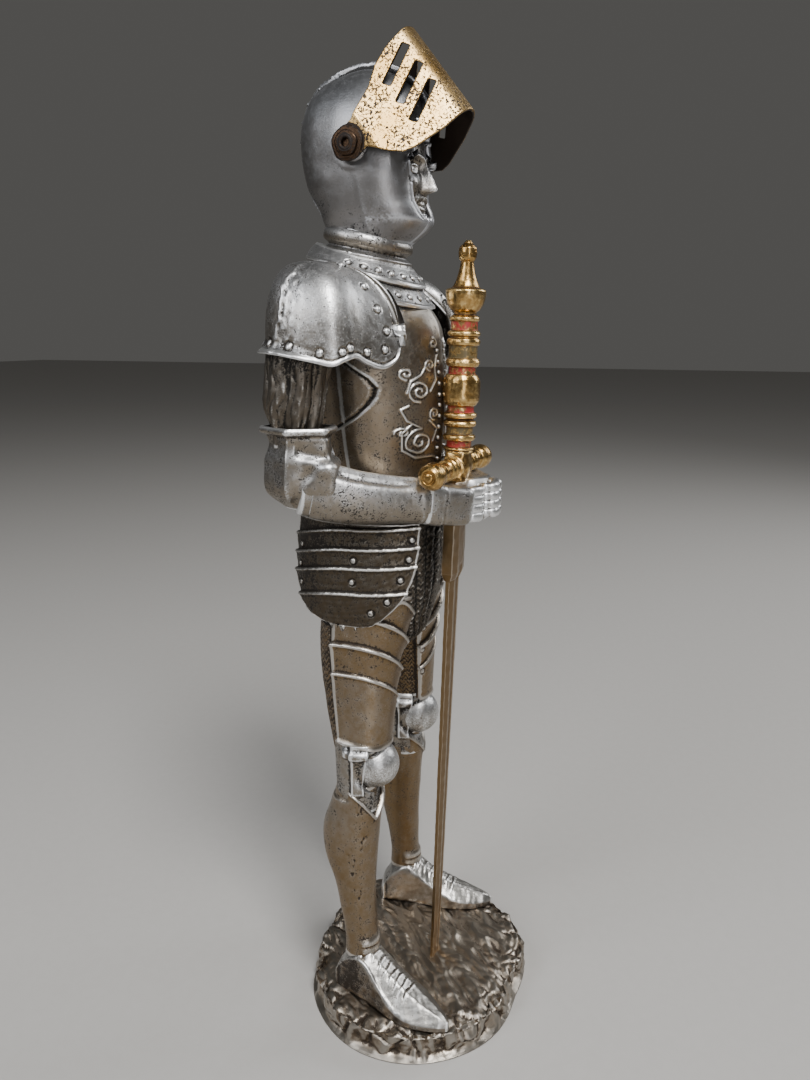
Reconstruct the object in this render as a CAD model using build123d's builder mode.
from build123d import *

import os
from math import atan2, cos, degrees, pi, radians, sin, sqrt, tan

# A knight in plate armour, cast in white metal in separate pieces and set on a rocky base. He faces -Y and
# his left is +X. The origin is the middle of the base's underside. All sizes are in millimetres.
# Sections of a limb are (share of its height, forward or back place of its centre, half width, half depth).

# Heights of the stacked castings, from the ground up
base_height = 6.0
ankle_height = 11.0
shin_length = 30.0
knee_height = 10.0
thigh_length = 25.0
hip_height = 17.5
trunk_height = 38.0
neck_height = 9.5
helmet_height = 28.2

# Base
base_radii = (25.0, 26.3, 24.2, 21.4, 22.6, 24.2, 25.6, 24.8, 23.0, 21.2, 22.8, 23.4)
base_flare = 1.6
screw_radius = 1.25
screw_head_radius = 2.2
screw_head_height = 1.6
screw_recess = 2.2
screw_bite = 6.0

# Legs
ankle_spread = 15.0
knee_spread = 12.6
hip_spread = 7.4
foot_splay = 13.0
left_foot_back = 3.2
left_knee_back = 1.0
knee_boss_radius = 4.8

# Trunk and arms
plate_wall = 1.3
tasset_lug = 2.2
trunk_split = 8.0
arm_spread = 20.8
arm_radius = 4.4
shoulder_dowel_radius = 1.2
shoulder_dowel_length = 11.0
elbow_back = 14.2
wrist_spread = 7.6
wrist_front = -5.4
hand_front = -8.4
hand_rise = 3.0
hand_half_width = 4.8
hand_half_depth = 4.3
hand_half_height = 3.5

# Helmet and visor
comb_height = 1.3
comb_thickness = 1.7
face_window_width = 11.4
face_window_height = 13.6
pivot_back = 9.0
pivot_rise = 14.8
visor_sheet = 0.5
visor_reach = 17.5
visor_ridge_length = 16.9
visor_ridge_past_pivot = 6.3
visor_nose_radius = 4.2
visor_ear_radius = 2.7
visor_half_width = 11.2
visor_lean = 38.7
rivet_radius = 0.9
rivet_hole_radius = 0.5
rivet_head_radius = 1.5
rivet_head_height = 0.6
rivet_bite = 3.0
rosette_radius = 2.9
rosette_thickness = 0.7
pivot_boss_radius = 2.3
running_clearance = 0.05
side_clearance = 0.1

# Sword
sword_lean = 2.0
blade_width = 4.6
blade_thickness = 1.7
ricasso_width = 7.0
ricasso_thickness = 2.6
ricasso_drop = 11.5
socket_depth = 1.6
guard_half_length = 15.4
guard_knob_radius = 2.3
guard_arm_radius = 1.5
guard_block_width = 5.4
guard_block_depth = 4.4
guard_block_height = 5.2
tang_radius = 1.0
tang_length = 4.0
# Each band of the grip and pommel: (length, radius at its bottom, radius at its top)
hilt_bands = (
    (0.3, 2.5, 2.4), (0.6, 2.75, 2.75), (1.2, 2.25, 2.25), (0.9, 2.8, 2.8), (1.6, 2.35, 2.35),
    (1.0, 3.0, 3.0), (0.7, 2.5, 2.5), (0.8, 2.95, 2.95), (1.2, 2.4, 2.4), (5.4, 3.3, 3.45),
    (1.5, 2.5, 2.5), (1.3, 3.05, 3.05), (2.3, 2.6, 2.6), (1.0, 2.95, 2.95), (0.5, 2.5, 2.5),
    (0.8, 2.9, 2.9), (1.8, 2.4, 2.4), (0.8, 2.7, 2.7), (0.6, 1.7, 1.9), (3.6, 2.1, 3.4),
    (0.5, 3.4, 3.1), (1.6, 2.0, 1.4), (2.6, 1.4, 1.05), (2.6, 1.5, 1.5), (0.9, 0.8, 0.4),
)

# Levels that the heights give
sole_z = base_height
ankle_z = sole_z + ankle_height
shin_top_z = ankle_z + shin_length
knee_top_z = shin_top_z + knee_height
hip_z = knee_top_z + thigh_length
waist_z = hip_z + hip_height
collar_z = waist_z + trunk_height
helmet_z = collar_z + neck_height
hand_z = waist_z + hand_rise
shoulder_z = collar_z - 7.0
pivot_z = helmet_z + pivot_rise

SIDES = {"right": -1, "left": 1}
pieces = {}


def keep(name, part):
    """Labels a finished piece and holds it under its node's name."""
    part.label = name
    pieces[name] = part
    return part


def ellipse_at(plane, half_width, half_depth, x=0.0, y=0.0):
    """One ellipse on a plane, for a loft."""
    with BuildSketch(plane) as section:
        with Locations((x, y)):
            Ellipse(half_width, half_depth)
    return section.sketch


def level_ellipse(height, x, y, half_width, half_depth):
    """One level ellipse, for a loft."""
    return ellipse_at(Plane.XY.offset(height), half_width, half_depth, x, y)


def limb(bottom, top, x_bottom, x_top, sections, back_bottom=0.0, back_top=0.0):
    """Level ellipses between two heights, leaning from x_bottom to x_top and set back at each end."""
    levels = []
    for share, y, half_width, half_depth in sections:
        height = bottom + share * (top - bottom)
        x = x_bottom + share * (x_top - x_bottom)
        back = back_bottom + share * (back_top - back_bottom)
        levels.append(level_ellipse(height, x, y + back, half_width, half_depth))
    return levels


def outline_on(plane, points, rounded=False):
    """A closed outline through points on a plane, straight-edged or as one smooth curve."""
    with BuildSketch(plane) as shape:
        with BuildLine():
            if rounded:
                Spline(*points, periodic=True)
            else:
                Polyline(*points, close=True)
        make_face()
    return shape.sketch


# ---------------------------------------------------------------- sections
shin_sections = (
    (0.0, 6.5, 3.0, 3.2), (0.37, 7.5, 3.7, 4.0), (0.68, 8.9, 4.7, 5.9), (0.87, 8.0, 4.9, 5.9),
    (1.0, 6.9, 4.8, 5.4),
)
knee_sections = ((0.0, 6.9, 4.8, 5.4), (0.5, 6.4, 5.0, 5.6), (1.0, 6.4, 5.4, 5.9))
thigh_sections = ((0.0, 6.4, 5.4, 5.9), (0.4, 6.8, 6.0, 6.6), (0.84, 6.9, 6.7, 8.2), (1.0, 7.0, 6.9, 8.8))
hip_sections = ((0.0, 7.0, 14.3, 10.2), (0.5, 7.2, 14.0, 10.8), (1.0, 7.0, 12.4, 10.0))
trunk_sections = (
    (0.0, 7.0, 12.0, 9.6), (0.12, 7.0, 11.8, 9.8), (0.33, 7.2, 13.2, 10.8), (0.54, 7.5, 14.2, 11.4),
    (0.75, 8.0, 14.6, 11.0), (0.91, 9.0, 13.4, 9.6), (1.0, 9.6, 11.4, 8.6),
)
helmet_sections = (
    (0.0, 9.8, 7.6, 9.0), (0.15, 9.4, 8.6, 9.7), (0.36, 9.6, 9.5, 11.1), (0.56, 9.9, 9.7, 11.6),
    (0.74, 9.9, 8.8, 10.7), (0.88, 9.9, 6.6, 8.2), (0.96, 9.9, 4.0, 5.0), (0.995, 9.9, 1.4, 1.8),
)
face_sections = (
    (0.0, 4.4, 3.4, 3.8), (0.2, 4.2, 5.2, 4.9), (0.5, 4.0, 6.1, 5.2), (0.8, 4.2, 6.4, 5.3),
    (1.0, 4.6, 6.2, 4.9),
)
# Foot sections: (height above the sole, back or front place from the ankle, half width, half length)
foot_sections = (
    (0.0, -7.3, 3.7, 12.3), (2.4, -6.3, 3.9, 11.5), (5.0, -3.2, 3.8, 7.8), (8.0, -0.6, 3.5, 4.6),
    (ankle_height, 0.0, 3.0, 3.2),
)
ankle_back = shin_sections[0][1]


# ---------------------------------------------------------------- sword
grip_z = hand_z + hand_half_height
sword_front = hand_front + 1.7
sword_plane = Plane(
    origin=(0, sword_front, grip_z), x_dir=(1, 0, 0),
    z_dir=(0, -sin(radians(sword_lean)), cos(radians(sword_lean))),
)
blade_length = (grip_z - base_height + socket_depth) / cos(radians(sword_lean))
ricasso_length = 2 * hand_half_height + ricasso_drop


def sword_level(height):
    """A plane across the sword, height above the top of the hands."""
    return sword_plane.offset(height)


def six_sided(height, width, thickness, edge):
    """A blade's flattened section, its edges of the given thickness, height above the top of the hands."""
    half_w, half_t, half_e = width / 2, thickness / 2, edge / 2
    corners = [(-half_w, -half_e), (-half_w * 0.4, -half_t), (half_w * 0.4, -half_t), (half_w, -half_e)]
    corners += [(-x, -y) for x, y in corners]
    return outline_on(sword_level(height), corners)


with BuildPart() as sword_blade:
    shoulder = -ricasso_length
    loft(
        sections=[
            six_sided(-blade_length, blade_width * 0.62, blade_thickness * 0.8, blade_thickness * 0.3),
            six_sided(shoulder, blade_width, blade_thickness, blade_thickness * 0.3),
        ],
        ruled=True,
    )
    loft(
        sections=[
            six_sided(shoulder, blade_width + 0.6, blade_thickness + 0.6, 0.7),
            six_sided(shoulder + 1.4, ricasso_width, ricasso_thickness, 1.0),
        ],
        ruled=True,
    )
    extrude(six_sided(shoulder + 1.4, ricasso_width, ricasso_thickness, 1.0), amount=ricasso_length - 1.4)
    with BuildSketch(sword_level(0)):
        Circle(tang_radius)
    extrude(amount=guard_block_height + tang_length)
keep("sword_blade", sword_blade.part)

with BuildPart() as sword_guard:
    with BuildSketch(sword_level(0)):
        Rectangle(guard_block_width * 0.8, guard_block_depth * 0.8)
    with BuildSketch(sword_level(guard_block_height * 0.35)):
        Rectangle(guard_block_width, guard_block_depth)
    loft(ruled=True)
    with BuildSketch(sword_level(guard_block_height * 0.35)):
        Rectangle(guard_block_width, guard_block_depth)
    extrude(amount=guard_block_height * 0.65)
    guard_axis = sword_level(guard_block_height * 0.5)
    arm_plane = Plane(origin=guard_axis.origin, x_dir=guard_axis.z_dir, z_dir=(1, 0, 0))
    with BuildSketch(arm_plane):
        Circle(guard_arm_radius)
    extrude(amount=guard_half_length - guard_knob_radius, both=True)
    for side in (-1, 1):
        for ring in range(3):
            with BuildSketch(arm_plane.offset(side * (guard_block_width / 2 + 1.6 + 1.6 * ring))):
                Circle(guard_arm_radius + 0.35)
            extrude(amount=0.4, both=True)
        with Locations(guard_axis.origin + Vector(side * (guard_half_length - guard_knob_radius), 0, 0)):
            Sphere(guard_knob_radius)
    with BuildSketch(sword_level(0)):
        Circle(tang_radius)
    extrude(amount=guard_block_height, mode=Mode.SUBTRACT)
keep("sword_guard", sword_guard.part)

with BuildPart() as sword_hilt:
    profile_plane = Plane(
        origin=sword_level(guard_block_height).origin, x_dir=(1, 0, 0), z_dir=(0, -cos(radians(sword_lean)), -sin(radians(sword_lean))),
    )
    outline = [(0.0, 0.0)]
    climbed = 0.0
    for length, low, high in hilt_bands:
        if outline[-1] != (low, climbed):
            outline.append((low, climbed))
        climbed += length
        outline.append((high, climbed))
    outline.append((0.0, climbed))
    with BuildSketch(profile_plane):
        with BuildLine():
            Polyline(*outline, close=True)
        make_face()
    revolve(axis=Axis(profile_plane.origin, sword_plane.z_dir))
    with BuildSketch(sword_level(guard_block_height)):
        Circle(tang_radius)
    extrude(amount=tang_length, mode=Mode.SUBTRACT)
keep("sword_hilt", sword_hilt.part)
hilt_length = climbed


# ---------------------------------------------------------------- base
def base_outline(height, inset):
    """The base's rounded outline at one height, inset towards its middle."""
    step = radians(360 / len(base_radii))
    points = [((r - inset) * cos(step * i), (r - inset) * sin(step * i)) for i, r in enumerate(base_radii)]
    return outline_on(Plane.XY.offset(height), points, rounded=True)


foot_back = {"right": 0.0, "left": left_foot_back}
knee_back = {"right": 0.0, "left": left_knee_back}
screw_places = [(side * ankle_spread, ankle_back + foot_back[word]) for word, side in SIDES.items()]

with BuildPart() as base_screws:
    with BuildSketch(Plane.XY.offset(screw_recess - screw_head_height)):
        with Locations(*screw_places):
            Circle(screw_head_radius)
    extrude(amount=screw_head_height)
    with BuildSketch(Plane.XY.offset(screw_recess)):
        with Locations(*screw_places):
            Circle(screw_radius)
    extrude(amount=base_height - screw_recess + screw_bite)
    with BuildSketch(Plane.XY.offset(screw_recess - screw_head_height)):
        with Locations(*screw_places):
            Rectangle(2 * screw_head_radius - 0.8, 0.6)
    extrude(amount=0.7, mode=Mode.SUBTRACT)
keep("base_screws", base_screws.part)

with BuildPart() as base_rock:
    rings = ((0.0, 0.5), (0.35, 0.0), (0.75, base_flare * 0.6), (1.0, base_flare))
    loft(sections=[base_outline(share * base_height, inset) for share, inset in rings])
    with BuildSketch(Plane.XY):
        with Locations(*screw_places):
            Circle(screw_head_radius)
    extrude(amount=screw_recess, mode=Mode.SUBTRACT)
    with BuildSketch(Plane.XY):
        with Locations(*screw_places):
            Circle(screw_radius)
    extrude(amount=base_height, mode=Mode.SUBTRACT)
    add(sword_blade.part, mode=Mode.SUBTRACT)
keep("base_rock", base_rock.part)


# ---------------------------------------------------------------- legs
def make_leg(word, side):
    """One leg's four castings: foot, shin, knee and thigh, stacked face to face."""
    low, high = foot_back[word], knee_back[word]
    ankle = Plane(origin=(side * ankle_spread, ankle_back + low, sole_z)).rotated((0, 0, side * foot_splay))
    with BuildPart() as sabaton:
        loft(sections=[ellipse_at(ankle.offset(h), wide, long, 0, y) for h, y, wide, long in foot_sections])
        with BuildSketch(Plane.XY.offset(sole_z)):
            with Locations((side * ankle_spread, ankle_back + low)):
                Circle(screw_radius)
        extrude(amount=screw_bite, mode=Mode.SUBTRACT)
    keep(f"{word}_sabaton", sabaton.part)

    with BuildPart() as poleyn:
        x = side * knee_spread
        loft(sections=limb(shin_top_z, knee_top_z, x, x, knee_sections, high, high))
        with Locations((x, knee_boss_radius - 0.5 + high, shin_top_z + knee_height * 0.68)):
            Sphere(knee_boss_radius)
    keep(f"{word}_poleyn", poleyn.part)

    with BuildPart() as greave:
        loft(sections=limb(ankle_z, shin_top_z, side * ankle_spread, x, shin_sections, low, high))
        add(poleyn.part, mode=Mode.SUBTRACT)
    keep(f"{word}_greave", greave.part)

    with BuildPart() as cuisse:
        loft(sections=limb(knee_top_z, hip_z, x, side * hip_spread, thigh_sections, high, 0.0))
        add(poleyn.part, mode=Mode.SUBTRACT)
    keep(f"{word}_cuisse", cuisse.part)


for word, side in SIDES.items():
    make_leg(word, side)


# ---------------------------------------------------------------- hips and tassets
with BuildPart() as mail_skirt:
    loft(sections=limb(hip_z, waist_z, 0, 0, hip_sections))
keep("mail_skirt", mail_skirt.part)


def make_tasset(word, side):
    """One hanging hip plate: a slice of a shell round the hips, cut to a rounded outline."""
    plate_bottom = hip_z - 1.0
    with BuildPart() as tasset:
        rings = (
            (plate_bottom, 7.0, 14.7, 10.8), (hip_z + 0.5 * hip_height, 7.3, 14.7, 11.2), (waist_z, 7.6, 13.4, 10.8),
        )
        loft(sections=[level_ellipse(z, 0, y, w + plate_wall, d + plate_wall) for z, y, w, d in rings])
        loft(sections=[level_ellipse(z, 0, y, w, d) for z, y, w, d in rings], mode=Mode.SUBTRACT)
        loft(
            sections=[
                level_ellipse(waist_z - tasset_lug, 0, 7.5, 14.2, 11.2), level_ellipse(waist_z, 0, 7.6, 13.9, 11.2),
            ]
        )
        with BuildSketch(Plane.YZ):
            with BuildLine():
                Spline(
                    (18.9, waist_z), (19.4, waist_z - 7.5), (15.5, hip_z + 1.8), (7.5, plate_bottom),
                    (0.8, hip_z + 2.8), (-2.0, waist_z - 8.5), (-3.0, waist_z),
                )
                Line((-3.0, waist_z), (18.9, waist_z))
            make_face()
        extrude(amount=side * 30, mode=Mode.INTERSECT)
        for inner in (mail_skirt.part, pieces[f"{word}_cuisse"]):
            add(inner, mode=Mode.SUBTRACT)
    keep(f"{word}_tasset", tasset.part)


for word, side in SIDES.items():
    make_tasset(word, side)


# ---------------------------------------------------------------- trunk
shoulder_dowel_y = 10.5
shoulder_dowel_from = trunk_sections[4][2] - shoulder_dowel_length / 2


with BuildPart() as shoulder_dowels:
    for side in SIDES.values():
        with BuildSketch(Plane.YZ.offset(side * shoulder_dowel_from)):
            with Locations((shoulder_dowel_y, shoulder_z)):
                Circle(shoulder_dowel_radius)
        extrude(amount=side * shoulder_dowel_length)
keep("shoulder_dowels", shoulder_dowels.part)


def make_trunk_half(name, keep_side):
    """The breastplate or the backplate: the trunk on one side of the split."""
    with BuildPart() as half:
        loft(sections=limb(waist_z, collar_z, 0, 0, trunk_sections))
        split(bisect_by=Plane.XZ.offset(-trunk_split), keep=keep_side)
        add(shoulder_dowels.part, mode=Mode.SUBTRACT)
    return keep(name, half.part)


breastplate = make_trunk_half("breastplate", Keep.TOP)
backplate = make_trunk_half("backplate", Keep.BOTTOM)

with BuildPart() as gorget:
    rings = ((collar_z - 3.6, 8.6, 12.6, 10.7), (collar_z, 9.4, 11.6, 10.1), (collar_z + 4.2, 10.4, 9.4, 9.4))
    loft(sections=[level_ellipse(z, 0, y, w, d) for z, y, w, d in rings])
    add([breastplate, backplate], mode=Mode.SUBTRACT)
keep("gorget", gorget.part)

neck_plane = Plane(origin=(0, 10.8, collar_z + 6.0), x_dir=(1, 0, 0), z_dir=(0, -sin(radians(12)), cos(radians(12))))
with BuildPart() as neck_guard:
    neck_profile_plane = Plane(origin=neck_plane.origin, x_dir=(1, 0, 0), z_dir=(0, -cos(radians(12)), -sin(radians(12))))
    with BuildSketch(neck_profile_plane):
        with BuildLine():
            rise = Polyline((0, -4.0), (10.0, -4.0), (10.2, -3.2), (8.7, -0.4), (8.7, 0.6))
            ring = ThreePointArc((8.7, 0.6), (9.4, 1.8), (8.5, 3.0))
            Polyline((8.5, 3.0), (8.0, 4.0), (0, 4.0), (0, -4.0))
        make_face()
    revolve(axis=Axis(neck_plane.origin, neck_plane.z_dir))
    add([gorget.part, breastplate, backplate], mode=Mode.SUBTRACT)
keep("neck_guard", neck_guard.part)


# ---------------------------------------------------------------- head
with BuildPart() as face:
    loft(sections=limb(helmet_z + 1.8, helmet_z + 3.8 + face_window_height, 0, 0, face_sections))
    with BuildSketch(Plane.YZ):
        with BuildLine():
            Polyline((1.0, helmet_z + 13.5), (-2.4, helmet_z + 8.6), (1.0, helmet_z + 7.8), close=True)
        make_face()
    extrude(amount=1.1, both=True)
keep("face", face.part)

with BuildPart() as helmet:
    loft(sections=limb(helmet_z, helmet_z + helmet_height, 0, 0, helmet_sections))
    # The comb is a thin slice of a larger copy of the same dome, from the brow to the nape.
    with BuildSketch(Plane.YZ):
        with Locations((9.9, helmet_z + 0.56 * helmet_height)):
            Ellipse(11.3 + comb_height, 0.44 * helmet_height + comb_height)
        with Locations((4.0, helmet_z)):
            Rectangle(16, 2 * helmet_height * 0.72, mode=Mode.SUBTRACT)
        with Locations((12.0, helmet_z)):
            Rectangle(30, 2 * helmet_height * 0.34, mode=Mode.SUBTRACT)
    extrude(amount=comb_thickness / 2, both=True)
    with BuildSketch(Plane.YZ):
        with Locations((pivot_back, pivot_z)):
            Circle(pivot_boss_radius)
    extrude(amount=visor_half_width - visor_sheet - side_clearance, both=True)
    with BuildSketch(Plane.XZ):
        with Locations((0, helmet_z + 2.6 + face_window_height / 2)):
            SlotOverall(face_window_height, face_window_width, rotation=90)
    extrude(amount=-4.0, both=True, mode=Mode.SUBTRACT)
    add([face.part, neck_guard.part], mode=Mode.SUBTRACT)
    with BuildSketch(Plane.YZ.offset(visor_half_width - rivet_bite)):
        with Locations((pivot_back, pivot_z)):
            Circle(rivet_radius)
    extrude(amount=rivet_bite + 1.0, mode=Mode.SUBTRACT)
    with BuildSketch(Plane.YZ.offset(-visor_half_width + rivet_bite)):
        with Locations((pivot_back, pivot_z)):
            Circle(rivet_radius)
    extrude(amount=-rivet_bite - 1.0, mode=Mode.SUBTRACT)
keep("helmet", helmet.part)

# The visor's own planes: seen from the side, x runs down its ridge and y back from the ridge to the pivot.
ridge_dir = Vector(0, -sin(radians(visor_lean)), -cos(radians(visor_lean)))
back_dir = Vector(0, cos(radians(visor_lean)), -sin(radians(visor_lean)))
ridge_foot = Vector(0, pivot_back, pivot_z) - back_dir * visor_reach
visor_side = Plane(origin=ridge_foot, x_dir=ridge_dir, z_dir=(1, 0, 0))
visor_section = Plane(origin=ridge_foot, x_dir=(-1, 0, 0), z_dir=ridge_dir)
ridge_low = visor_ridge_past_pivot
ridge_high = visor_ridge_past_pivot - visor_ridge_length


def visor_fold(inset):
    """The folded sheet's section across the ridge, filled, inset by the sheet's thickness."""
    with BuildSketch(visor_section) as fold:
        with Locations((0, visor_nose_radius)):
            Circle(visor_nose_radius - inset)
        with Locations((0, visor_reach + 1.0)):
            Rectangle(2 * (visor_half_width - inset), 9.0)
        make_hull()
    return fold.sketch


with BuildPart() as visor:
    extrude(visor_fold(0), amount=visor_ridge_length, both=True)
    extrude(visor_fold(visor_sheet), amount=visor_ridge_length, both=True, mode=Mode.SUBTRACT)
    with BuildSketch(visor_section) as open_back:
        with Locations((0, visor_reach + 3.5)):
            Rectangle(2 * (visor_half_width - visor_sheet), 10.0)
    extrude(amount=visor_ridge_length, both=True, mode=Mode.SUBTRACT)
    with BuildSketch(visor_side):
        with BuildLine():
            Polyline(
                (ridge_high, -1.0), (ridge_high, 0.8), (ridge_high + 1.2, 4.5), (ridge_high + 2.9, 7.4),
                (ridge_high + 5.4, 10.0), (ridge_high + 8.2, visor_reach - visor_ear_radius),
                (ridge_high + 8.2, visor_reach), (ridge_low - 3.6, visor_reach), (ridge_low - 3.6, 15.2),
                (ridge_low - 0.8, 13.0), (ridge_low + 0.6, 11.4), (ridge_low + 1.0, 9.6), (ridge_low + 0.9, 4.7),
                (ridge_low, -1.0), close=True,
            )
        make_face()
        with Locations((0, visor_reach)):
            Circle(visor_ear_radius)
    extrude(amount=visor_half_width + 1, both=True, mode=Mode.INTERSECT)
    with BuildSketch(visor_side):
        for slot in range(3):
            with Locations((1.5 - 3.7 * slot, 4.9)):
                Rectangle(7.0, 1.3, rotation=55)
        with Locations((0, visor_reach)):
            Circle(rivet_radius + running_clearance)
    extrude(amount=visor_half_width + 1, both=True, mode=Mode.SUBTRACT)
keep("visor", visor.part)


def make_visor_rivet(word, side):
    """A hollow rivet through the visor's ear into the helmet's boss."""
    head_from = visor_half_width + side_clearance
    ear = Plane(origin=(0, pivot_back, pivot_z), x_dir=(0, 1, 0), z_dir=(side, 0, 0))
    with BuildPart() as rivet:
        with BuildSketch(ear.offset(visor_half_width - rivet_bite)):
            Circle(rivet_radius)
        extrude(amount=rivet_bite + side_clearance)
        with BuildSketch(ear.offset(head_from)):
            Circle(rivet_head_radius)
        extrude(amount=rivet_head_height)
        with BuildSketch(ear.offset(visor_half_width - rivet_bite)):
            Circle(rivet_hole_radius)
        extrude(amount=rivet_bite + side_clearance + rivet_head_height, mode=Mode.SUBTRACT)
    keep(f"{word}_visor_rivet", rivet.part)


for word, side in SIDES.items():
    make_visor_rivet(word, side)


# ---------------------------------------------------------------- arms
pauldron_sections = (
    (0.0, 12.0, 7.4, 10.8), (0.3, 11.6, 7.6, 11.4), (0.6, 11.2, 7.2, 10.8), (0.82, 10.8, 5.8, 8.6),
    (0.95, 10.8, 3.4, 5.2), (1.0, 10.8, 1.2, 2.0),
)
couter_top_z = waist_z + 16.2
couter_bottom_z = waist_z + 2.2


def make_arm(word, side):
    """One arm's castings: pauldron, sleeve, couter, vambrace and gauntlet."""
    with BuildPart() as pauldron:
        loft(
            sections=limb(
                shoulder_z - 8.6, shoulder_z + 6.6, side * (arm_spread - 2.2), side * (arm_spread - 5.6),
                pauldron_sections,
            )
        )
        for inner in (breastplate, backplate, gorget.part, neck_guard.part, shoulder_dowels.part):
            add(inner, mode=Mode.SUBTRACT)
    keep(f"{word}_pauldron", pauldron.part)

    elbow = (side * (arm_spread + 0.9), elbow_back, (couter_top_z + couter_bottom_z) / 2)
    with BuildPart() as couter:
        loft(
            sections=[
                level_ellipse(couter_bottom_z, elbow[0], elbow_back + 0.6, 3.2, 3.6),
                level_ellipse(couter_bottom_z + 4.0, elbow[0], elbow_back, 4.7, 6.0),
                level_ellipse(couter_bottom_z + 9.0, elbow[0], elbow_back, 5.0, 6.4),
                level_ellipse(couter_top_z, elbow[0] - side * 0.4, elbow_back + 0.2, 5.4, 6.6),
            ]
        )
        for inner in (breastplate, backplate):
            add(inner, mode=Mode.SUBTRACT)
    keep(f"{word}_couter", couter.part)

    with BuildPart() as upper_arm:
        loft(
            sections=[
                level_ellipse(couter_top_z - 0.5, elbow[0] - side * 0.4, elbow_back + 0.4, 4.2, 4.9),
                level_ellipse(shoulder_z - 6.0, side * (arm_spread - 0.4), 13.6, arm_radius + 0.2, 5.2),
            ]
        )
        for inner in (couter.part, pauldron.part, breastplate, backplate, shoulder_dowels.part):
            add(inner, mode=Mode.SUBTRACT)
    keep(f"{word}_upper_arm", upper_arm.part)

    elbow_point = Vector(elbow[0] - side * 0.6, elbow_back - 1.0, couter_bottom_z + 4.4)
    wrist_point = Vector(side * wrist_spread, wrist_front, hand_z + 0.4)
    along = (wrist_point - elbow_point).normalized()
    reach = (wrist_point - elbow_point).length
    forearm = Plane(origin=elbow_point, x_dir=(0, 0, 1), z_dir=along)
    with BuildPart() as vambrace:
        loft(
            sections=[
                ellipse_at(forearm, 4.2, 4.2), ellipse_at(forearm.offset(reach * 0.45), 4.3, 4.2),
                ellipse_at(forearm.offset(reach * 0.8), 3.6, 3.3), ellipse_at(forearm.offset(reach), 3.9, 3.5),
            ]
        )
        for inner in (couter.part, breastplate, backplate):
            add(inner, mode=Mode.SUBTRACT)
    keep(f"{word}_vambrace", vambrace.part)


for word, side in SIDES.items():
    make_arm(word, side)


def make_gauntlet(word, side):
    """One hand closed on the sword, ending at the knight's middle plane."""
    with BuildPart() as gauntlet:
        loft(
            sections=[
                ellipse_at(Plane.YZ.offset(side * x), deep, tall, hand_front + 0.5 * x, hand_z)
                for x, deep, tall in (
                    (0.0, hand_half_depth, hand_half_height), (3.0, hand_half_depth, hand_half_height),
                    (6.0, 3.6, 3.3), (hand_half_width + 4.4, 2.6, 2.8),
                )
            ]
        )
        for inner in (pieces[f"{word}_vambrace"], sword_blade.part, breastplate, sword_guard.part):
            add(inner, mode=Mode.SUBTRACT)
    keep(f"{word}_gauntlet", gauntlet.part)


for word, side in SIDES.items():
    make_gauntlet(word, side)


os.makedirs("parts", exist_ok=True)
for name, part in pieces.items():
    export_step(part, f"parts/{name}.step")
print(len(pieces), "pieces")
